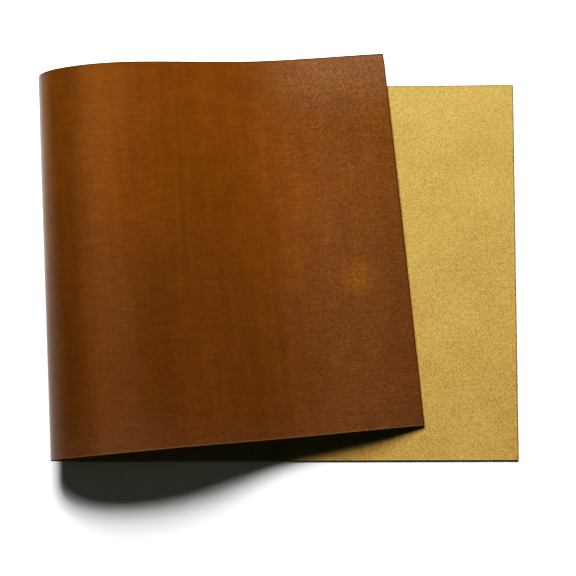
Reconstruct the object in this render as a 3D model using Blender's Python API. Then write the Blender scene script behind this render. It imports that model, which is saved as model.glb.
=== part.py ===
"""Leather panel: one cut rectangle of vegetable-tanned leather, curled over on itself.

The panel lies with its grain side down. Its far half rolls up, over and back in a wide open curl, and its free
end comes down, a little askew, on the flesh side of the near half. +X points from the curl to the two ends,
+Y across the panel and +Z up. The origin is the middle of the panel's box, on the surface it lies on.
"""

from collections import namedtuple
from math import cos, radians, tan

import bmesh
import bpy
import numpy as np
from mathutils import Quaternion, Vector

# Driving dimensions, in metres
PANEL_LENGTH = 0.700
PANEL_WIDTH = 0.300
THICKNESS = 0.002

# The bends, a row for each place along the panel's centre line, even in between.
# along: metres from the end that lies flat underneath
# bend: one over the bend's radius in metres; above 0 the panel rolls over on itself, below 0 it sags back
# slant: degrees by which the straight line of the bend is turned from square to the panel's length
Bend = namedtuple("Bend", "along bend slant")
BENDS = (
    Bend(along=0.320, bend=0.0, slant=-6.8),
    Bend(along=0.340, bend=18.5, slant=-2.6),
    Bend(along=0.365, bend=34.6, slant=2.2),
    Bend(along=0.400, bend=30.8, slant=4.2),
    Bend(along=0.445, bend=11.3, slant=0.4),
    Bend(along=0.505, bend=7.0, slant=-6.7),
    Bend(along=0.580, bend=-6.2, slant=1.9),
    Bend(along=0.700, bend=5.3, slant=10.2),
)

# How finely the solid follows the bends
WALK_STEP = 0.001
FLAT_ROWS = 6
BENT_ROW = 0.005
COLUMNS = 10
SMOOTH_BELOW = radians(30)

GRAIN_COLOUR = (0.205, 0.056, 0.008, 1.0)
FLESH_COLOUR = (0.640, 0.430, 0.120, 1.0)
GRAIN_ROUGHNESS = 0.42
FLESH_ROUGHNESS = 0.95


def clear_scene():
    for thing in list(bpy.data.objects):
        bpy.data.objects.remove(thing, do_unlink=True)


def leather(name, colour, roughness):
    material = bpy.data.materials.new(name)
    material.use_nodes = True
    shader = material.node_tree.nodes["Principled BSDF"]
    shader.inputs["Base Color"].default_value = colour
    shader.inputs["Roughness"].default_value = roughness
    shader.inputs["Metallic"].default_value = 0.0
    return material


def centre_line():
    """Walk the centre line from the flat end, turning about the slanted bend line at each short step.

    Gives the distance walked, the point reached and the panel's own directions there, forward and across.
    """
    steps = round(PANEL_LENGTH / WALK_STEP)
    along = np.linspace(0.0, PANEL_LENGTH, steps + 1)
    place = [row.along for row in BENDS]
    bend = np.interp(along, place, [row.bend for row in BENDS])
    slant = np.radians(np.interp(along, place, [row.slant for row in BENDS]))
    point = Vector((0.0, 0.0, 0.0))
    forward = Vector((-1.0, 0.0, 0.0))
    across = Vector((0.0, 1.0, 0.0))
    points, forwards, acrosses = [point.copy()], [forward.copy()], [across.copy()]
    for i in range(steps):
        middle_slant = 0.5 * (slant[i] + slant[i + 1])
        bend_line = across + forward * tan(middle_slant)
        angle = 0.5 * (bend[i] + bend[i + 1]) * WALK_STEP / cos(middle_slant)
        turn = Quaternion(bend_line, angle)
        halfway = forward.copy()
        forward.rotate(turn)
        across.rotate(turn)
        point += 0.5 * (halfway + forward) * WALK_STEP
        points.append(point.copy())
        forwards.append(forward.copy())
        acrosses.append(across.copy())
    return along, slant, np.array(points), np.array(forwards), np.array(acrosses)


class BentPanel:
    """Places any point of the flat panel on the bent one, with every length along the leather kept."""

    def __init__(self):
        self.along, self.slant, self.points, self.forwards, self.acrosses = centre_line()

    def place(self, along, across):
        """Follow the straight bend line through the flat point to the centre line, and back out again."""
        crossing = np.interp(along, self.along + across * np.tan(self.slant), self.along)
        point = self.at(self.points, crossing)
        forward = self.at(self.forwards, crossing)
        sideways = self.at(self.acrosses, crossing)
        return Vector(point + forward * (along - crossing) + sideways * across)

    def at(self, values, along):
        return np.array([np.interp(along, self.along, values[:, axis]) for axis in range(3)])


def row_places():
    """Distances along the panel of the mesh's rows: far apart where it is flat, close where it bends."""
    first = BENDS[0]
    bend_starts = first.along - abs(tan(radians(first.slant))) * PANEL_WIDTH / 2.0
    flat = np.linspace(0.0, bend_starts, FLAT_ROWS + 1)
    bent_rows = round((PANEL_LENGTH - bend_starts) / BENT_ROW)
    bent = np.linspace(bend_starts, PANEL_LENGTH, bent_rows + 1)
    return np.concatenate([flat, bent[1:]])


def bent_sheet(name):
    """A flat grid, one row for each place along the panel, moved point by point on to the bent panel."""
    rows = row_places()
    panel = BentPanel()
    sheet = bmesh.new()
    bmesh.ops.create_grid(sheet, x_segments=len(rows) - 1, y_segments=COLUMNS, size=1.0)
    for vert in sheet.verts:
        row = round((vert.co.x + 1.0) / 2.0 * (len(rows) - 1))
        across = vert.co.y * PANEL_WIDTH / 2.0
        vert.co = panel.place(rows[row], across)
    mesh = bpy.data.meshes.new(name)
    sheet.to_mesh(mesh)
    sheet.free()
    return mesh


def centre_on_floor(thing):
    """Move the object so that the middle of its box's underside is the origin."""
    bpy.context.view_layer.update()
    evaluated = thing.evaluated_get(bpy.context.evaluated_depsgraph_get())
    corners = np.array([tuple(corner) for corner in evaluated.bound_box])
    low, high = corners.min(axis=0), corners.max(axis=0)
    thing.location = (-(low[0] + high[0]) / 2.0, -(low[1] + high[1]) / 2.0, -low[2])


def build_panel():
    mesh = bent_sheet("panel")
    mesh.materials.append(leather("flesh side", FLESH_COLOUR, FLESH_ROUGHNESS))
    mesh.materials.append(leather("grain side", GRAIN_COLOUR, GRAIN_ROUGHNESS))
    mesh.shade_smooth()
    mesh.set_sharp_from_angle(angle=SMOOTH_BELOW)
    panel = bpy.data.objects.new("panel", mesh)
    bpy.context.scene.collection.objects.link(panel)
    body = panel.modifiers.new("thickness", "SOLIDIFY")
    body.thickness = THICKNESS
    body.offset = 0.0
    body.use_even_offset = True
    body.material_offset = 1
    centre_on_floor(panel)
    return panel


clear_scene()
build_panel()
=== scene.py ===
"""The looks of the leather panel: a burnished grain side, a golden suede flesh side and plain cut edges.

Everything is in metres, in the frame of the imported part: +X points from the curl to the two cut ends, +Y
across the panel and +Z up, with the origin under the middle of the panel's box.
"""

from collections import namedtuple
from math import cos, radians, tan

import bpy
import numpy as np
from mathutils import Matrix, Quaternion, Vector


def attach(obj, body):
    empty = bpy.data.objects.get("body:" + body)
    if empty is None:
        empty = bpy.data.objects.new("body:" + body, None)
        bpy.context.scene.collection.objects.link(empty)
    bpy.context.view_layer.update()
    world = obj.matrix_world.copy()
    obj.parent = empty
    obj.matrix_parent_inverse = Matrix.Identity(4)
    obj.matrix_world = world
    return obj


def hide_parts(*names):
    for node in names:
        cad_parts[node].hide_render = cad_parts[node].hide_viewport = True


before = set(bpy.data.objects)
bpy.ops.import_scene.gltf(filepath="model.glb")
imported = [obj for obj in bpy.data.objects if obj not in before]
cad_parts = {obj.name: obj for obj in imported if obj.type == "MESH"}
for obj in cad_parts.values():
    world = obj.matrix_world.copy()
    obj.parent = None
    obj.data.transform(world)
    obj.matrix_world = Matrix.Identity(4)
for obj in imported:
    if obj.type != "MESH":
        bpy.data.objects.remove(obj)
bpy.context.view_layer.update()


def dye(red, green, blue):
    """A colour as the nodes take it: linear red, green and blue, and opaque."""
    return (red, green, blue, 1.0)


# Sizes of the cut panel, in metres
PANEL_LENGTH = 0.700
PANEL_WIDTH = 0.300
THICKNESS = 0.002

# The bends, a row for each place along the panel's centre line, even in between.
# along: metres from the end that lies flat underneath
# bend: one over the bend's radius in metres; above 0 the panel rolls over on itself, below 0 it sags back
# slant: degrees by which the straight line of the bend is turned from square to the panel's length
Bend = namedtuple("Bend", "along bend slant")
BENDS = (
    Bend(along=0.320, bend=0.0, slant=-6.8),
    Bend(along=0.340, bend=18.5, slant=-2.6),
    Bend(along=0.365, bend=34.6, slant=2.2),
    Bend(along=0.400, bend=30.8, slant=4.2),
    Bend(along=0.445, bend=11.3, slant=0.4),
    Bend(along=0.505, bend=7.0, slant=-6.7),
    Bend(along=0.580, bend=-6.2, slant=1.9),
    Bend(along=0.700, bend=5.3, slant=10.2),
)
WALK_STEP = 0.001

# The slab's mesh, before it is bent
ROWS = 350
COLUMNS = 76
BORDER_ROW = 0.0009
EDGE_BREAK = 0.00030
EDGE_BREAK_STEPS = 2
PLACE_DIGITS = 6

# A place on the flat leather is in metres along it, from the end that lies flat underneath, and in metres
# across it, from its centre line: above 0 towards the far edge, below 0 towards the near edge. A third number
# is in metres through it, from the middle of its thickness: above 0 towards the grain side.

# Faint creases in the grain side.
# at: the place along where the crease meets the centre line
# slant: metres along for each metre across
# far_end, near_end: the places across where the crease starts and ends
# strength: 1 for the full depth and the full tones
Crease = namedtuple("Crease", "at slant far_end near_end strength")
CREASES = (
    Crease(at=0.5918, slant=0.0, far_end=0.060, near_end=-0.140, strength=1.0),
    Crease(at=0.5193, slant=0.05, far_end=0.150, near_end=-0.050, strength=1.0),
    Crease(at=0.5547, slant=-0.13, far_end=0.030, near_end=-0.130, strength=0.5),
)
CREASE_DEPTH = 0.00020
CREASE_HALF_WIDTH = 0.006
CREASE_FADE = 0.050

# How a crease looks: how far its line wanders, the steep and the slow side of its dark line of painted shade,
# the place and half the width of the lit ridge of painted highlight beside it, and the shares that the two
# have of their painted colours
CREASE_WANDER = 0.003
CREASE_WANDER_SCALE = 45.0
STEEP_SIDE = 0.0018
SLOW_SIDE = 0.0055
RIDGE_BESIDE = 0.0038
RIDGE_HALF_WIDTH = 0.0026
CREASE_SHADE_SHARE = 0.16
CREASE_HIGHLIGHT_SHARE = 0.07

# Soft bands of painted shade right across the grain side, where the leather slopes away from the lights.
# at, slant: as for a crease
# half_width: from the middle of the band to where it has faded out
# far_tone, near_tone: its tone on the far half and on the near half of the leather
BendShadeBand = namedtuple("BendShadeBand", "at slant half_width far_tone near_tone")
BEND_SHADE_BANDS = (
    BendShadeBand(at=0.429, slant=0.09, half_width=0.027, far_tone=0.81, near_tone=0.86),
    BendShadeBand(at=0.492, slant=0.04, half_width=0.045, far_tone=0.97, near_tone=0.84),
)
# Each band fades at the near cut: the places across between which it does, and the shares of it there
BANDS_FADE_ACROSS = (-0.155, -0.115)
BANDS_FADE_SHARES = (0.2, 1.0)

# Zones of the grain side: the place where each one starts and where it is full, along the leather for the
# free end and across it for the others, and its share there
Zone = namedtuple("Zone", "start full share")
# The near edge zone carries painted shade: darker and redder towards the near edge, away from the lights
NEAR_EDGE = Zone(start=0.120, full=-0.130, share=0.80)
NEAR_CUT = Zone(start=-0.105, full=-0.148, share=0.80)
NEAR_HALF = Zone(start=0.060, full=-0.030, share=1.0)
FAR_HALF = Zone(start=0.000, full=0.110, share=1.0)
FAR_EDGE = Zone(start=0.090, full=0.150, share=1.0)
FREE_END = Zone(start=0.570, full=0.655, share=0.60)

# Round spots on the grain side, full as far as the core and gone at the reach: a small pale mark near the
# free end, and a broad patch in the middle of the upper half where the dye is lighter
Spot = namedtuple("Spot", "place core reach")
PALE_MARK = Spot(place=(0.659, -0.029, 0.001), core=0.002, reach=0.019)
PALE_MARK_SHARE = 0.40
LIGHTER_MIDDLE = Spot(place=(0.605, 0.020, 0.001), core=0.010, reach=0.095)
LIGHTER_MIDDLE_TONE = 1.09

# The grain side's dyes, with painted shade towards the near edge and in the creases, a painted sheen at the
# free end and painted highlights on the creases' ridges
DARK_AMBER = dye(0.096, 0.0351, 0.0028)
LIGHT_AMBER = dye(0.114, 0.0427, 0.0040)
# Painted shade towards the near edge, away from the lights
NEAR_EDGE_SHADE_PAINT = dye(0.0905, 0.0315, 0.0050)
NEAR_CUT_DYE = dye(0.0920, 0.0360, 0.0105)
# The free end and its near corner: partly a lighter dye, partly a painted sheen
FREE_END_DYE_AND_SHEEN = dye(0.112, 0.0480, 0.0130)
NEAR_CORNER_DYE_AND_SHEEN = dye(0.118, 0.0530, 0.0225)
# A painted sheen on the far corner of the free end
FAR_CORNER_SHEEN_PAINT = dye(0.136, 0.0740, 0.0390)
PALE_MARK_DYE = dye(0.175, 0.0800, 0.0120)
REDDER_TINT = dye(0.96, 0.92, 1.05)
YELLOWER_TINT = dye(1.04, 1.07, 0.92)
# Painted shade in a crease's dark line, and a painted highlight on its lit ridge
CREASE_SHADE_PAINT = dye(0.050, 0.020, 0.003)
CREASE_HIGHLIGHT_PAINT = dye(0.165, 0.075, 0.012)
PORE_DYE = dye(0.050, 0.014, 0.002)

# The flesh side's golds
DEEP_GOLD = dye(0.292, 0.190, 0.066)
PALE_GOLD = dye(0.318, 0.213, 0.078)
CURL_GOLD = dye(0.400, 0.285, 0.115)
FLECK_GOLD = dye(0.235, 0.135, 0.035)

# The cut edge's tans, and its dyed skin, which starts just above the middle of the thickness
DARK_TAN = dye(0.110, 0.062, 0.026)
LIGHT_TAN = dye(0.170, 0.100, 0.045)
SKIN_DYE = dye(0.050, 0.019, 0.005)
SKIN_FROM_TO = (0.0002, 0.0007)

# Rims along the cut edges: the share and the colour of the paler near one, a painted highlight, and of the
# darker others, painted shade
Rim = namedtuple("Rim", "share colour")
RIM_WIDTH = 0.0013
GRAIN_NEAR_HIGHLIGHT_RIM = Rim(share=0.55, colour=dye(0.200, 0.110, 0.048))
GRAIN_SHADED_RIMS = Rim(share=0.85, colour=dye(0.060, 0.022, 0.004))
FLESH_NEAR_HIGHLIGHT_RIM = Rim(share=0.5, colour=dye(0.430, 0.330, 0.150))
FLESH_SHADED_RIMS = Rim(share=0.6, colour=dye(0.110, 0.085, 0.040))

# Tones from the darkest to the lightest part of a pattern. A tone of 1, or white, leaves a colour as it is
WHITE = dye(1.0, 1.0, 1.0)
STREAK_TONES = (0.97, 1.03)
FIBRE_TONES = (0.955, 1.045)
GRAIN_TONES = (0.89, 1.11)
# Stronger grain tones for the free end and its far half: the grain, with painted glints
GRAIN_AND_GLINT_TONES = (0.76, 1.24)
GRAIN_AND_BRIGHTER_GLINT_TONES = (0.66, 1.34)
NAP_TONES = (0.77, 1.19)
CUT_FIBRE_TONES = (0.70, 1.15)

# The grain side's roughness from its darkest to its lightest clouds, and the relief of each surface
POLISH = (0.38, 0.32)
GRAIN_RELIEF = 0.00008
NAP_RELIEF = 0.0003
CUT_FIBRE_RELIEF = 0.0002
RELIEF_STRENGTH = 0.6

# How the shared effects are made: the noise between which clouds go from dark to light, how much finer than
# the cells their unevenness is and how far the two are brightened, and the shares of a speck's size and of a
# rim's width as far as which they are full
CLOUDS_FROM_TO = (0.25, 0.75)
UNEVENNESS_FINER = 1.7
CELLS_BRIGHTER = 2.0
SPECK_CORE = 0.5
RIM_CORE = 0.4

# The camera, where it stood for the photograph. It is turned in radians, and its lens is in millimetres
CAMERA_PLACE = (0.06744, -0.21301, 1.58891)
CAMERA_TURN = (0.1174, 0.0383, -0.0017)
CAMERA_LENS = 125.73
CAMERA_SENSOR = 36.0

# The studio's lights and boards, which all face the origin.
# turn: degrees about the line to the origin
# power: in watts
# shines, mirrors: whether it lights what it falls on, and whether it shows as gloss
StudioLight = namedtuple("StudioLight", "name place width height turn power shines mirrors")
STUDIO_LIGHTS = (
    StudioLight("long light", (-0.032, 0.583, 1.20), 0.974, 0.284, 0, 17.0, shines=True, mirrors=False),
    StudioLight("round light", (-0.130, 1.056, 1.20), 0.820, 0.820, 0, 46.0, shines=True, mirrors=False),
    StudioLight("strip board", (-0.340, 0.080, 1.20), 0.360, 1.200, -43, 2.0, shines=False, mirrors=True),
    StudioLight("front board", (-0.700, -0.240, 1.20), 0.900, 0.260, 0, 1.3, shines=False, mirrors=True),
    StudioLight("side board", (0.480, 0.670, 1.20), 0.600, 0.450, 0, 1.2, shines=False, mirrors=True),
)

# The room and the floor
FILL_BRIGHTNESS = 0.06
BACKDROP_BRIGHTNESS = 0.85
FLOOR_ACROSS = 12.0
FLOOR_DROP = 0.0002
FLOOR_WHITE = (0.90, 0.90, 0.90, 1.0)
FLOOR_ROUGHNESS = 0.9
FLOOR_SHINE = 0.2
EVEN_FLOOR_FROM_TO = (0.40, 1.30)
EVEN_FLOOR_BRIGHTNESS = 0.85

# The photograph's contrast curve: its power, the value below which it follows that power, the points that it
# is drawn through, as shares of that value, and the value from which it changes nothing
CONTRAST = 1.5
CONTRAST_BELOW = 0.4
CONTRAST_POINTS = (0.02, 0.05, 0.12, 0.25, 0.45, 0.70, 1.0)
CONTRAST_ENDS = 0.7
# Its deepest blacks, in red, green and blue: a faint green grey
DEEPEST_BLACKS = (0.0020, 0.0068, 0.0030)


# Camera, light and floor

def photo_camera():
    data = bpy.data.cameras.new("photo camera")
    data.lens = CAMERA_LENS
    data.sensor_width = CAMERA_SENSOR
    camera = bpy.data.objects.new("photo camera", data)
    camera.location = CAMERA_PLACE
    camera.rotation_euler = CAMERA_TURN
    bpy.context.scene.collection.objects.link(camera)
    bpy.context.scene.camera = camera


def studio_lights():
    """Two soft lights high behind the far edge, and white boards that show only as gloss on the leather."""
    for row in STUDIO_LIGHTS:
        data = bpy.data.lights.new(row.name, "AREA")
        data.shape = "ELLIPSE"
        data.size = row.width
        data.size_y = row.height
        data.energy = row.power
        light = bpy.data.objects.new(row.name, data)
        light.location = row.place
        light.rotation_mode = "QUATERNION"
        facing = Vector(row.place).to_track_quat("Z", "Y")
        light.rotation_quaternion = facing @ Quaternion((0.0, 0.0, 1.0), radians(row.turn))
        light.visible_diffuse = row.shines
        light.visible_glossy = row.mirrors
        bpy.context.scene.collection.objects.link(light)


def studio_world():
    """A dim room for the light, and a pale backdrop where the camera looks past the floor."""
    world = bpy.data.worlds.new("studio")
    world.use_nodes = True
    tree = world.node_tree
    tree.nodes.clear()
    room = add_node(tree, "ShaderNodeBackground", (0, 100), "dim room")
    set_inputs(room, Color=WHITE, Strength=FILL_BRIGHTNESS)
    backdrop = add_node(tree, "ShaderNodeBackground", (0, -100), "pale backdrop")
    set_inputs(backdrop, Color=WHITE, Strength=BACKDROP_BRIGHTNESS)
    ray = add_node(tree, "ShaderNodeLightPath", (0, 400), "what looks")
    mix = add_node(tree, "ShaderNodeMixShader", (250, 0), "room or backdrop")
    output = add_node(tree, "ShaderNodeOutputWorld", (450, 0), "world")
    tree.links.new(ray.outputs["Is Camera Ray"], mix.inputs[0])
    tree.links.new(room.outputs[0], mix.inputs[1])
    tree.links.new(backdrop.outputs[0], mix.inputs[2])
    tree.links.new(mix.outputs[0], output.inputs["Surface"])
    bpy.context.scene.world = world


def studio_floor():
    """A white floor. Away from the panel, where the soft lights no longer reach, it lights itself evenly."""
    bpy.ops.object.select_all(action="DESELECT")
    bpy.ops.mesh.primitive_plane_add(size=FLOOR_ACROSS, location=(0.0, 0.0, -FLOOR_DROP))
    floor = bpy.context.active_object
    floor.name = "floor"
    bpy.ops.object.transform_apply(location=True, rotation=True, scale=True)
    white = bpy.data.materials.new("white floor")
    white.use_nodes = True
    tree = white.node_tree
    shader = tree.nodes["Principled BSDF"]
    set_inputs(shader, Base_Color=FLOOR_WHITE, Roughness=FLOOR_ROUGHNESS, Specular_IOR_Level=FLOOR_SHINE)
    coordinates = add_node(tree, "ShaderNodeTexCoord", (-800, 0), "place on the floor")
    away = add_node(tree, "ShaderNodeVectorMath", (-600, 0), "away from the panel", operation="LENGTH")
    tree.links.new(coordinates.outputs["Object"], away.inputs[0])
    glow = ramp(tree, (-300, 0), "evenly lit", away.outputs["Value"], *EVEN_FLOOR_FROM_TO)
    tree.links.new(glow, shader.inputs["Emission Color"])
    shader.inputs["Emission Strength"].default_value = EVEN_FLOOR_BRIGHTNESS
    floor.data.materials.append(white)


def photo_contrast():
    """The photograph's contrast: its dark tones fall off faster than the light does."""
    view = bpy.context.scene.view_settings
    view.view_transform = "Standard"
    view.use_curve_mapping = True
    *each_colour, every_colour = view.curve_mapping.curves
    for colour, black in zip(each_colour, DEEPEST_BLACKS):
        colour.points[0].location = (0.0, black)
    for share in CONTRAST_POINTS:
        every_colour.points.new(share * CONTRAST_BELOW, share**CONTRAST * CONTRAST_BELOW)
    every_colour.points.new(CONTRAST_ENDS, CONTRAST_ENDS)
    view.curve_mapping.update()


# Small helpers for the node trees, where a place or a row is a node's own place in the node editor

def add_node(tree, kind, place, label, **settings):
    node = tree.nodes.new(kind)
    node.location = place
    node.label = label
    for setting, value in settings.items():
        setattr(node, setting, value)
    return node


def set_inputs(node, **values):
    for name, value in values.items():
        node.inputs[name.replace("_", " ")].default_value = value


def maths(tree, operation, place, label, first, second=None):
    """A Math node. Each of its numbers is either a plain number or another node's output."""
    node = add_node(tree, "ShaderNodeMath", place, label, operation=operation)
    for socket, value in zip(node.inputs, (first, second)):
        if isinstance(value, (int, float)):
            socket.default_value = value
        elif value is not None:
            tree.links.new(value, socket)
    return node.outputs[0]


def ramp(tree, place, label, value, low, high, to_low=0.0, to_high=1.0):
    """A smooth Map Range node, from low to high."""
    node = add_node(tree, "ShaderNodeMapRange", place, label, interpolation_type="SMOOTHSTEP")
    set_inputs(node, From_Min=low, From_Max=high, To_Min=to_low, To_Max=to_high)
    tree.links.new(value, node.inputs["Value"])
    return node.outputs["Result"]


def fade_out(tree, place, label, value, start, end):
    """A smooth fall from 1 at start to 0 at end."""
    return ramp(tree, place, label, value, start, end, 1.0, 0.0)


def tone(tree, place, label, pattern, tones):
    """The tone of each place in a pattern, from the darkest to the lightest one."""
    return ramp(tree, place, label, pattern, 0.0, 1.0, *tones)


def blend(tree, place, label, mask, first, second, how="MIX"):
    """A colour Mix node. Mask and each colour are either plain values or another node's output."""
    node = add_node(tree, "ShaderNodeMix", place, label, data_type="RGBA", blend_type=how)
    for socket, value in ((node.inputs[0], mask), (node.inputs[6], first), (node.inputs[7], second)):
        if isinstance(value, (int, float, tuple)):
            socket.default_value = value
        else:
            tree.links.new(value, socket)
    return node.outputs[2]


def flat_axes(tree, place, flat_place):
    """How far along, across and deep each point lies in the flat leather."""
    axes = add_node(tree, "ShaderNodeSeparateXYZ", place, "along, across and depth")
    tree.links.new(flat_place, axes.inputs[0])
    return axes.outputs


def new_group(name, inputs, outputs):
    """A shader node group with named sockets. Gives the tree, its input node and its output node."""
    tree = bpy.data.node_groups.new(name, "ShaderNodeTree")
    for socket, (kind, value) in inputs.items():
        made = tree.interface.new_socket(socket, in_out="INPUT", socket_type=kind)
        if value is not None:
            made.default_value = value
    for socket, kind in outputs.items():
        tree.interface.new_socket(socket, in_out="OUTPUT", socket_type=kind)
    start = add_node(tree, "NodeGroupInput", (-900, 0), "in")
    end = add_node(tree, "NodeGroupOutput", (900, 0), "out")
    return tree, start, end


# Effects that several of the materials use

def cloudiness_group():
    """Soft uneven patches of one size, drawn out across the panel by Stretch."""
    tree, start, end = new_group(
        "cloudiness",
        {
            "Flat Place": ("NodeSocketVector", None),
            "Patch Size": ("NodeSocketFloat", 0.05),
            "Stretch": ("NodeSocketFloat", 1.0),
            "Offset": ("NodeSocketFloat", 0.0),
            "Detail": ("NodeSocketFloat", 3.0),
        },
        {"Clouds": "NodeSocketFloat"},
    )
    drawn_out = add_node(tree, "ShaderNodeCombineXYZ", (-700, -200), "drawn out across")
    drawn_out.inputs["X"].default_value = 1.0
    drawn_out.inputs["Z"].default_value = 1.0
    shrink = maths(tree, "DIVIDE", (-850, -300), "shrink across", 1.0, start.outputs["Stretch"])
    tree.links.new(shrink, drawn_out.inputs["Y"])
    stretched = add_node(tree, "ShaderNodeVectorMath", (-500, 0), "stretch", operation="MULTIPLY")
    tree.links.new(start.outputs["Flat Place"], stretched.inputs[0])
    tree.links.new(drawn_out.outputs[0], stretched.inputs[1])
    moved = add_node(tree, "ShaderNodeVectorMath", (-300, 0), "another part of the hide", operation="ADD")
    tree.links.new(stretched.outputs[0], moved.inputs[0])
    tree.links.new(start.outputs["Offset"], moved.inputs[1])
    scale = maths(tree, "DIVIDE", (-300, -200), "patches in a metre", 1.0, start.outputs["Patch Size"])
    noise = add_node(tree, "ShaderNodeTexNoise", (0, 0), "patches")
    set_inputs(noise, Roughness=0.55)
    tree.links.new(moved.outputs[0], noise.inputs["Vector"])
    tree.links.new(scale, noise.inputs["Scale"])
    tree.links.new(start.outputs["Detail"], noise.inputs["Detail"])
    clouds = ramp(tree, (300, 0), "even out", noise.outputs["Fac"], *CLOUDS_FROM_TO)
    tree.links.new(clouds, end.inputs["Clouds"])
    return tree


def grain_cells_group():
    """Fine cells of one size, each a little lighter or darker, with the valleys between them."""
    tree, start, end = new_group(
        "fine cells",
        {
            "Flat Place": ("NodeSocketVector", None),
            "Cell Size": ("NodeSocketFloat", 0.001),
        },
        {
            "Tone": "NodeSocketFloat",
            "Height": "NodeSocketFloat",
        },
    )
    scale = maths(tree, "DIVIDE", (-600, -200), "cells in a metre", 1.0, start.outputs["Cell Size"])
    cells = add_node(tree, "ShaderNodeTexVoronoi", (-300, 100), "cells", feature="SMOOTH_F1")
    set_inputs(cells, Smoothness=0.6, Randomness=1.0)
    noise = add_node(tree, "ShaderNodeTexNoise", (-300, -300), "fine unevenness")
    set_inputs(noise, Detail=2.0, Roughness=0.6)
    finer = maths(tree, "MULTIPLY", (-450, -300), "finer", scale, UNEVENNESS_FINER)
    for texture, size in ((cells, scale), (noise, finer)):
        tree.links.new(start.outputs["Flat Place"], texture.inputs["Vector"])
        tree.links.new(size, texture.inputs["Scale"])
    shade = add_node(tree, "ShaderNodeSeparateColor", (0, 200), "shade of each cell")
    tree.links.new(cells.outputs["Color"], shade.inputs[0])
    mixed = maths(tree, "MULTIPLY", (200, 0), "shade and unevenness", shade.outputs[0], noise.outputs["Fac"])
    bright = maths(tree, "MULTIPLY", (400, 0), "brighten", mixed, CELLS_BRIGHTER)
    rise = maths(tree, "SUBTRACT", (200, -200), "cells rise", 1.0, cells.outputs["Distance"])
    height = maths(tree, "ADD", (400, -200), "height", rise, noise.outputs["Fac"])
    tree.links.new(bright, end.inputs["Tone"])
    tree.links.new(height, end.inputs["Height"])
    return tree


def specks_group():
    """Small round specks, such as hair pores or flecks in the nap, scattered at the given spacing."""
    tree, start, end = new_group(
        "scattered specks",
        {
            "Flat Place": ("NodeSocketVector", None),
            "Spacing": ("NodeSocketFloat", 0.005),
            "Speck Size": ("NodeSocketFloat", 0.1),
        },
        {"Specks": "NodeSocketFloat"},
    )
    scale = maths(tree, "DIVIDE", (-600, -200), "specks in a metre", 1.0, start.outputs["Spacing"])
    points = add_node(tree, "ShaderNodeTexVoronoi", (-300, 0), "speck places", feature="F1")
    tree.links.new(start.outputs["Flat Place"], points.inputs["Vector"])
    tree.links.new(scale, points.inputs["Scale"])
    distance, size = points.outputs["Distance"], start.outputs["Speck Size"]
    ratio = maths(tree, "DIVIDE", (0, 0), "distance in specks", distance, size)
    specks = fade_out(tree, (300, 0), "soft round speck", ratio, SPECK_CORE, 1.0)
    tree.links.new(specks, end.inputs["Specks"])
    return tree


def cut_rims_group():
    """Masks that follow the cut edges: one for the near edge, one for the far edge and both ends."""
    tree, start, end = new_group(
        "along the cut",
        {
            "Flat Place": ("NodeSocketVector", None),
            "Rim Width": ("NodeSocketFloat", 0.001),
        },
        {
            "Near Rim": "NodeSocketFloat",
            "Other Rims": "NodeSocketFloat",
        },
    )
    along, across, _ = flat_axes(tree, (-700, 0), start.outputs["Flat Place"])
    from_near = maths(tree, "ADD", (-500, 200), "from the near edge", across, PANEL_WIDTH / 2)
    from_far = maths(tree, "SUBTRACT", (-500, 0), "from the far edge", PANEL_WIDTH / 2, across)
    from_end = maths(tree, "SUBTRACT", (-500, -200), "from the free end", PANEL_LENGTH, along)
    ends = maths(tree, "MINIMUM", (-300, -200), "from the nearer end", from_end, along)
    others = maths(tree, "MINIMUM", (-100, -100), "from the other edges", ends, from_far)
    for distance, socket, row in ((from_near, "Near Rim", 200), (others, "Other Rims", -100)):
        share = maths(tree, "DIVIDE", (200, row), "distance in rims", distance, start.outputs["Rim Width"])
        rim = fade_out(tree, (400, row), "soft rim", share, RIM_CORE, 1.0)
        tree.links.new(rim, end.inputs[socket])
    return tree


# Materials, and how their colour is built up

Leather = namedtuple("Leather", "material tree shader flat_place")


def new_leather(name, **settings):
    """A material with its shader, and the flat place of each point of the leather."""
    material = bpy.data.materials.new(name)
    material.use_nodes = True
    tree = material.node_tree
    shader = tree.nodes["Principled BSDF"]
    set_inputs(shader, Metallic=0.0, **settings)
    flat = add_node(
        tree, "ShaderNodeAttribute", (-1400, 0), "place on the flat leather", attribute_name="flat_place"
    )
    return Leather(material, tree, shader, flat.outputs["Vector"])


def use_group(leather, group, row, label, **values):
    """The group's node in a material, reading the flat place of each point of the leather."""
    node = add_node(leather.tree, "ShaderNodeGroup", (-1100, row), label, node_tree=group)
    leather.tree.links.new(leather.flat_place, node.inputs["Flat Place"])
    set_inputs(node, **values)
    return node.outputs


class Colouring:
    """The colour of a leather, built up from left to right by one Mix node after another."""

    START = (-400, 600)
    STEP = 180

    def __init__(self, tree, label, mask, first, second):
        self.tree = tree
        self.place = self.START
        self.colour = blend(tree, self.place, label, mask, first, second)

    def dye(self, label, mask, colour):
        """Lay another colour over it, where the mask says."""
        self.step()
        self.colour = blend(self.tree, self.place, label, mask, self.colour, colour)

    def shade(self, label, tones):
        """Darken, lighten or tint it by the tone of each place."""
        self.step()
        self.colour = blend(self.tree, self.place, label, 1.0, self.colour, tones, "MULTIPLY")

    def step(self):
        self.place = (self.place[0] + self.STEP, self.place[1])


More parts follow.
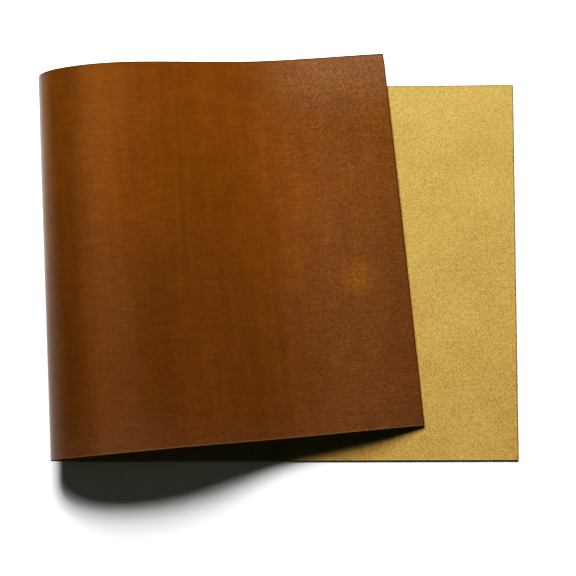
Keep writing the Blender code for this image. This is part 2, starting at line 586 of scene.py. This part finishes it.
def finish_leather(leather, colouring, height, relief):
    """Join the finished colour and the relief to the shader, and set the shader to the right of them."""
    tree, shader = leather.tree, leather.shader
    right = colouring.place[0] + 300
    tree.links.new(colouring.colour, shader.inputs["Base Color"])
    bump = add_node(tree, "ShaderNodeBump", (right - 200, -300), "relief")
    set_inputs(bump, Strength=RELIEF_STRENGTH, Distance=relief)
    tree.links.new(height, bump.inputs["Height"])
    tree.links.new(bump.outputs[0], shader.inputs["Normal"])
    shader.location = (right, 0)
    tree.nodes["Material Output"].location = (right + 300, 0)
    return leather.material


def paint_rim_highlight_and_shade(leather, colouring, rims, row, near_rim, other_rims):
    """The rims along the cut edges: paler on the near one, a painted highlight, and darker on the others,
    painted shade.
    """
    masks = use_group(leather, rims, row, "cut rims", Rim_Width=RIM_WIDTH)
    along, up = colouring.place
    for label, mask, rim in (
        ("painted highlight on the near rim", masks["Near Rim"], near_rim),
        ("painted shade on the other rims", masks["Other Rims"], other_rims),
    ):
        share = maths(leather.tree, "MULTIPLY", (along, up - 250), label, mask, rim.share)
        colouring.dye(label, share, rim.colour)
        along += colouring.STEP


# The grain side

def zone_mask(tree, place, label, position, zone):
    """The share of the zone at each position, along or across."""
    return ramp(tree, place, label, position, zone.start, zone.full, 0.0, zone.share)


def spot_ramp(leather, row, label, spot, inside, outside):
    """A value that is inside at the spot and goes smoothly to outside around it."""
    tree = leather.tree
    away = add_node(tree, "ShaderNodeVectorMath", (-900, row), "from the spot", operation="DISTANCE")
    away.inputs[1].default_value = spot.place
    tree.links.new(leather.flat_place, away.inputs[0])
    return ramp(tree, (-700, row), label, away.outputs["Value"], spot.core, spot.reach, inside, outside)


def slanted_line(tree, row, across, at, slant):
    """The place along of a slanted line, at each place across."""
    line = maths(tree, "MULTIPLY", (-1200, row), "slanted line", across, slant)
    return maths(tree, "ADD", (-1050, row), "where it lies", line, at)


def dye_zones(leather, colouring, across, free_end):
    """Where the colour changes: painted shade towards the near edge, away from the lights, a duller near cut,
    the free end with a lighter dye and a painted sheen, its far corner with a painted sheen, the pale mark
    and the lighter middle.
    """
    tree = leather.tree
    near_edge = zone_mask(tree, (-900, 1000), "near edge", across, NEAR_EDGE)
    # Painted shade, darker and redder towards the near edge
    colouring.dye("painted shade, darker and redder near edge", near_edge, NEAR_EDGE_SHADE_PAINT)
    near_cut = zone_mask(tree, (-900, 1150), "beside the near cut", across, NEAR_CUT)
    colouring.dye("duller near cut", near_cut, NEAR_CUT_DYE)
    # The free end is partly a lighter dye, partly a painted sheen, and its far corner a painted sheen
    end_dye_and_sheen = blend(tree, (-700, 850), "free end's dye and painted sheen", near_edge, FREE_END_DYE_AND_SHEEN, NEAR_CORNER_DYE_AND_SHEEN)
    colouring.dye("free end, lighter dye and painted sheen", free_end, end_dye_and_sheen)
    far_edge = zone_mask(tree, (-900, 1300), "far edge", across, FAR_EDGE)
    far_corner = maths(tree, "MULTIPLY", (-700, 1300), "far corner of the free end", far_edge, free_end)
    colouring.dye("painted sheen on the far corner", far_corner, FAR_CORNER_SHEEN_PAINT)
    mark = spot_ramp(leather, 1450, "pale mark", PALE_MARK, PALE_MARK_SHARE, 0.0)
    colouring.dye("pale mark", mark, PALE_MARK_DYE)
    middle = spot_ramp(leather, 1600, "lighter middle", LIGHTER_MIDDLE, LIGHTER_MIDDLE_TONE, 1.0)
    colouring.shade("lighter middle", middle)


def shade_bands(tree, colouring, along, across):
    """Soft bands of painted shade, each on a slanted line right across the leather, where it slopes away from
    the lights.
    """
    near_half = zone_mask(tree, (-900, 1900), "near half", across, NEAR_HALF)
    off_the_cut = ramp(tree, (-900, 1750), "off the cut", across, *BANDS_FADE_ACROSS, *BANDS_FADE_SHARES)
    for number, band in enumerate(BEND_SHADE_BANDS):
        row = 2100 + 300 * number
        line = slanted_line(tree, row, across, band.at, band.slant)
        away = maths(tree, "SUBTRACT", (-900, row), "from the line", along, line)
        away = maths(tree, "ABSOLUTE", (-750, row), "beside the line", away)
        mask = fade_out(tree, (-600, row), "soft band", away, 0.0, band.half_width)
        mask = maths(tree, "MULTIPLY", (-450, row), "fades at the near cut", mask, off_the_cut)
        tones = (band.far_tone, band.near_tone)
        dark = tone(tree, (-450, row - 150), "tone of the band", near_half, tones)
        # Painted shade where the leather slopes away from the lights
        colouring.shade("painted shade band", blend(tree, (-300, row), "painted shade band", mask, WHITE, dark))


def shade_patterns(leather, colouring, clouds, fine_grain, across, free_end):
    """Small clouds, streaks, fibres and the fine grain, which is stronger at the free end, where its stronger
    tones are partly painted glints.
    """
    tree = leather.tree
    small = use_group(leather, clouds, 350, "small clouds", Patch_Size=0.014, Stretch=1.2)
    tint = blend(tree, (-800, 350), "redder to yellower", small["Clouds"], REDDER_TINT, YELLOWER_TINT)
    colouring.shade("small clouds", tint)
    streaks = use_group(leather, clouds, 100, "streaks across", Patch_Size=0.006, Stretch=30.0, Detail=2.0)
    colouring.shade("streaks", tone(tree, (-800, 100), "streaks' tone", streaks["Clouds"], STREAK_TONES))
    fibres = use_group(
        leather, clouds, -150, "fibres along", Patch_Size=0.018, Stretch=0.12, Detail=2.0, Offset=5.0
    )
    colouring.shade("fibres", tone(tree, (-800, -150), "fibres' tone", fibres["Clouds"], FIBRE_TONES))
    grained = tone(tree, (-800, -400), "grain's tone", fine_grain, GRAIN_TONES)
    # At the free end, and most in its far half, the grain's stronger tones are partly painted glints
    stronger = tone(tree, (-800, -550), "grain and painted glints' tone", fine_grain, GRAIN_AND_GLINT_TONES)
    strongest = tone(tree, (-800, -700), "grain and brighter painted glints' tone", fine_grain, GRAIN_AND_BRIGHTER_GLINT_TONES)
    far_half = zone_mask(tree, (-800, -850), "far half", across, FAR_HALF)
    stronger = blend(tree, (-600, -600), "strongest in the far half", far_half, stronger, strongest)
    grained = blend(tree, (-400, -500), "stronger at the free end", free_end, grained, stronger)
    colouring.shade("fine grain", grained)


def crease_masks(leather, row, along, across, crease):
    """The dark line of painted shade in a faint, slanted, a little crooked crease, and the lit ridge of
    painted highlight beside it.
    """
    tree = leather.tree
    wander = add_node(tree, "ShaderNodeTexNoise", (-1200, row - 200), "wander")
    set_inputs(wander, Scale=CREASE_WANDER_SCALE, Detail=2.0)
    tree.links.new(leather.flat_place, wander.inputs["Vector"])
    line = slanted_line(tree, row, across, crease.at - CREASE_WANDER / 2, crease.slant)
    crooked = maths(tree, "MULTIPLY", (-1050, row - 200), "crooked", wander.outputs["Fac"], CREASE_WANDER)
    line = maths(tree, "ADD", (-900, row), "crooked line", line, crooked)
    offset = maths(tree, "SUBTRACT", (-750, row), "from the line", along, line)
    inner_far, inner_near = crease.far_end - CREASE_FADE, crease.near_end + CREASE_FADE
    starts = ramp(tree, (-750, row - 350), "fades in", across, crease.far_end, inner_far)
    ends = ramp(tree, (-750, row - 550), "fades out", across, crease.near_end, inner_near)
    length = maths(tree, "MULTIPLY", (-600, row - 350), "length", starts, ends)
    length = maths(tree, "MULTIPLY", (-450, row - 350), "strength", length, crease.strength)
    steep = ramp(tree, (-600, row), "steep side", offset, -STEEP_SIDE, 0.0)
    slow = fade_out(tree, (-600, row + 150), "slow side", offset, 0.0, SLOW_SIDE)
    dark = maths(tree, "MULTIPLY", (-450, row), "dark line", steep, slow)
    beside = maths(tree, "ADD", (-600, row - 200), "from the ridge", offset, RIDGE_BESIDE)
    beside = maths(tree, "ABSOLUTE", (-450, row - 200), "beside the ridge", beside)
    ridge = fade_out(tree, (-300, row - 200), "lit ridge", beside, 0.0, RIDGE_HALF_WIDTH)
    dark = maths(tree, "MULTIPLY", (-150, row), "dark line", dark, length)
    dark = maths(tree, "MULTIPLY", (0, row), "faint line", dark, CREASE_SHADE_SHARE)
    ridge = maths(tree, "MULTIPLY", (-150, row - 200), "lit ridge", ridge, length)
    ridge = maths(tree, "MULTIPLY", (0, row - 200), "faint ridge", ridge, CREASE_HIGHLIGHT_SHARE)
    return dark, ridge


def grain_side(clouds, cells, specks, rims):
    """Burnished, dyed amber brown, faintly streaked and creased across the panel, with a soft shine."""
    leather = new_leather("burnished grain side", Specular_IOR_Level=0.22)
    tree = leather.tree
    along, across, _ = flat_axes(tree, (-1400, 850), leather.flat_place)
    broad = use_group(leather, clouds, 600, "broad clouds", Patch_Size=0.085, Stretch=1.5)["Clouds"]
    fine = use_group(leather, cells, -400, "fine grain", Cell_Size=0.0008)
    pores = use_group(leather, specks, -650, "hair pores", Spacing=0.0045, Speck_Size=0.07)
    free_end = zone_mask(tree, (-900, 850), "free end", along, FREE_END)
    colouring = Colouring(tree, "dark to light amber", broad, DARK_AMBER, LIGHT_AMBER)
    dye_zones(leather, colouring, across, free_end)
    shade_bands(tree, colouring, along, across)
    shade_patterns(leather, colouring, clouds, fine["Tone"], across, free_end)
    for number, crease in enumerate(CREASES):
        dark, ridge = crease_masks(leather, -1300 - 900 * number, along, across, crease)
        # Each crease is a shallow trough in the mesh, with painted shade in its dark line and a painted
        # highlight on its ridge
        colouring.dye("crease's painted shade", dark, CREASE_SHADE_PAINT)
        colouring.dye("crease's painted highlight", ridge, CREASE_HIGHLIGHT_PAINT)
    colouring.dye("pores", pores["Specks"], PORE_DYE)
    # Rims: a painted highlight along the near edge, painted shade along the others
    paint_rim_highlight_and_shade(leather, colouring, rims, -900, GRAIN_NEAR_HIGHLIGHT_RIM, GRAIN_SHADED_RIMS)
    tree.links.new(tone(tree, (-700, 650), "polish", broad, POLISH), leather.shader.inputs["Roughness"])
    return finish_leather(leather, colouring, fine["Height"], GRAIN_RELIEF)


# The flesh side and the cut edge

def flesh_side(clouds, cells, specks, rims):
    """Golden suede: a short granular nap with paler patches, pale curls and a few dark flecks."""
    leather = new_leather(
        "golden suede flesh side",
        Roughness=0.95,
        Specular_IOR_Level=0.15,
        Sheen_Weight=0.10,
        Sheen_Roughness=0.5,
    )
    patches = use_group(leather, clouds, 600, "pale patches", Patch_Size=0.045, Offset=3.0)
    nap = use_group(leather, cells, 100, "nap", Cell_Size=0.00062)
    flecks = use_group(leather, specks, -400, "dark flecks", Spacing=0.007, Speck_Size=0.09)
    curls = use_group(leather, specks, -650, "pale curls", Spacing=0.0055, Speck_Size=0.10)
    colouring = Colouring(leather.tree, "deep to pale gold", patches["Clouds"], DEEP_GOLD, PALE_GOLD)
    colouring.shade("nap", tone(leather.tree, (-800, 100), "nap's tone", nap["Tone"], NAP_TONES))
    colouring.dye("curls", curls["Specks"], CURL_GOLD)
    colouring.dye("flecks", flecks["Specks"], FLECK_GOLD)
    # Rims: a painted highlight along the near edge, painted shade along the others
    paint_rim_highlight_and_shade(leather, colouring, rims, -900, FLESH_NEAR_HIGHLIGHT_RIM, FLESH_SHADED_RIMS)
    return finish_leather(leather, colouring, nap["Height"], NAP_RELIEF)


def cut_edge(clouds, cells):
    """The knife cut: a dyed skin under the grain side, and a tan, fibrous middle."""
    leather = new_leather("cut edge", Roughness=0.8, Specular_IOR_Level=0.15)
    tree = leather.tree
    *_, depth = flat_axes(tree, (-1100, 0), leather.flat_place)
    skin = ramp(tree, (-800, 0), "dyed skin", depth, *SKIN_FROM_TO)
    fibres = use_group(leather, cells, 300, "fibres", Cell_Size=0.0005)
    uneven = use_group(leather, clouds, 600, "uneven dye", Patch_Size=0.012, Offset=7.0)
    colouring = Colouring(tree, "dark to light tan", uneven["Clouds"], DARK_TAN, LIGHT_TAN)
    colouring.shade("fibres", tone(tree, (-800, 300), "fibres' tone", fibres["Tone"], CUT_FIBRE_TONES))
    colouring.dye("dyed skin", skin, SKIN_DYE)
    return finish_leather(leather, colouring, fibres["Height"], CUT_FIBRE_RELIEF)


# The panel

def centre_line():
    """Walk the centre line from the flat end, turning about the slanted bend line at each short step.

    Gives the distance walked, the slant there, the point reached and the panel's own directions there,
    forward and across.
    """
    steps = round(PANEL_LENGTH / WALK_STEP)
    along = np.linspace(0.0, PANEL_LENGTH, steps + 1)
    place = [row.along for row in BENDS]
    bend = np.interp(along, place, [row.bend for row in BENDS])
    slant = np.radians(np.interp(along, place, [row.slant for row in BENDS]))
    point = Vector((0.0, 0.0, 0.0))
    forward = Vector((-1.0, 0.0, 0.0))
    across = Vector((0.0, 1.0, 0.0))
    points, forwards, acrosses = [point.copy()], [forward.copy()], [across.copy()]
    for i in range(steps):
        middle_slant = 0.5 * (slant[i] + slant[i + 1])
        bend_line = across + forward * tan(middle_slant)
        angle = 0.5 * (bend[i] + bend[i + 1]) * WALK_STEP / cos(middle_slant)
        turn = Quaternion(bend_line, angle)
        halfway = forward.copy()
        forward.rotate(turn)
        across.rotate(turn)
        point += 0.5 * (halfway + forward) * WALK_STEP
        points.append(point.copy())
        forwards.append(forward.copy())
        acrosses.append(across.copy())
    return along, slant, np.array(points), np.array(forwards), np.array(acrosses)


def bent(flat):
    """Move points of the flat slab (along, across, depth) on to the bent panel.

    Each point follows the straight bend line through it to the centre line, and back out again, so lengths
    along the leather are kept. Depth is above 0 towards the grain side.
    """
    centre_along, slant, points, forwards, acrosses = centre_line()
    along, across, depth = flat.T
    crossing = np.empty_like(along)
    for column in np.unique(across):
        in_column = across == column
        meets_column = centre_along + column * np.tan(slant)
        crossing[in_column] = np.interp(along[in_column], meets_column, centre_along)

    def at_crossing(values):
        return np.stack([np.interp(crossing, centre_along, values[:, axis]) for axis in range(3)], axis=1)

    forward = at_crossing(forwards)
    sideways = at_crossing(acrosses)
    outward = np.cross(forward, sideways)
    surface = at_crossing(points) + forward * (along - crossing)[:, None] + sideways * across[:, None]
    return surface + outward * depth[:, None]


def crease_depth(along, across):
    """How far the creases sink the leather: soft troughs that fade out towards both of their ends."""
    sunk = np.zeros_like(along)
    for crease in CREASES:
        beside = (along - crease.at - across * crease.slant) / CREASE_HALF_WIDTH
        trough = np.clip(1.0 - beside**2, 0.0, 1.0) ** 2
        from_ends = np.minimum(crease.far_end - across, across - crease.near_end) / CREASE_FADE
        sunk += crease.strength * CREASE_DEPTH * trough * np.clip(from_ends, 0.0, 1.0)
    return sunk


def apply_modifier(piece, kind, **settings):
    modifier = piece.modifiers.new(kind.lower(), kind)
    for setting, value in settings.items():
        setattr(modifier, setting, value)
    bpy.ops.object.modifier_apply(modifier=modifier.name)


def flat_slab(materials):
    """The panel as it was cut, lying flat, grain side up: x along it, y across it, z through it."""
    bpy.ops.object.select_all(action="DESELECT")
    bpy.ops.mesh.primitive_grid_add(
        x_subdivisions=ROWS,
        y_subdivisions=COLUMNS,
        size=1.0,
        location=(PANEL_LENGTH / 2, 0.0, 0.0),
    )
    slab = bpy.context.active_object
    slab.scale = (PANEL_LENGTH, PANEL_WIDTH, 1.0)
    slab.name = "leather_panel"
    slab.data.name = "leather_panel"
    bpy.ops.object.transform_apply(location=True, rotation=True, scale=True)
    for material in materials:
        slab.data.materials.append(material)
    bpy.ops.object.mode_set(mode="EDIT")
    bpy.ops.mesh.select_all(action="SELECT")
    bpy.ops.mesh.inset(thickness=BORDER_ROW, depth=0.0)
    bpy.ops.object.mode_set(mode="OBJECT")
    apply_modifier(
        slab, "SOLIDIFY", thickness=THICKNESS, offset=0.0, material_offset=1, material_offset_rim=2
    )
    apply_modifier(
        slab, "BEVEL", width=EDGE_BREAK, segments=EDGE_BREAK_STEPS, limit_method="ANGLE", material=2
    )
    return slab


def leather_panel(materials):
    """The slab with its creases sunk in, bent to its curl, and set down over the origin.

    Each point keeps its flat place for the materials. It is rounded before the bending, so that all the
    points of a column have one place across.
    """
    panel = flat_slab(materials)
    mesh = panel.data
    flat = np.empty(len(mesh.vertices) * 3)
    mesh.vertices.foreach_get("co", flat)
    flat = flat.reshape(-1, 3)
    flat_place = mesh.attributes.new("flat_place", "FLOAT_VECTOR", "POINT")
    flat_place.data.foreach_set("vector", flat.ravel())
    along, across, depth = flat.round(PLACE_DIGITS).T
    creased = np.stack([along, across, depth - crease_depth(along, across)], axis=1)
    curled = bent(creased)
    low, high = curled.min(axis=0), curled.max(axis=0)
    curled -= ((low[0] + high[0]) / 2, (low[1] + high[1]) / 2, low[2])
    mesh.vertices.foreach_set("co", curled.ravel())
    mesh.update()
    bpy.ops.object.shade_smooth()
    return panel


photo_camera()
studio_lights()
studio_world()
studio_floor()
photo_contrast()

cloudiness = cloudiness_group()
fine_cells = grain_cells_group()
scattered_specks = specks_group()
cut_rims = cut_rims_group()
panel = leather_panel(
    [
        grain_side(cloudiness, fine_cells, scattered_specks, cut_rims),
        flesh_side(cloudiness, fine_cells, scattered_specks, cut_rims),
        cut_edge(cloudiness, fine_cells),
    ]
)
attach(panel, "root")
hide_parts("panel")
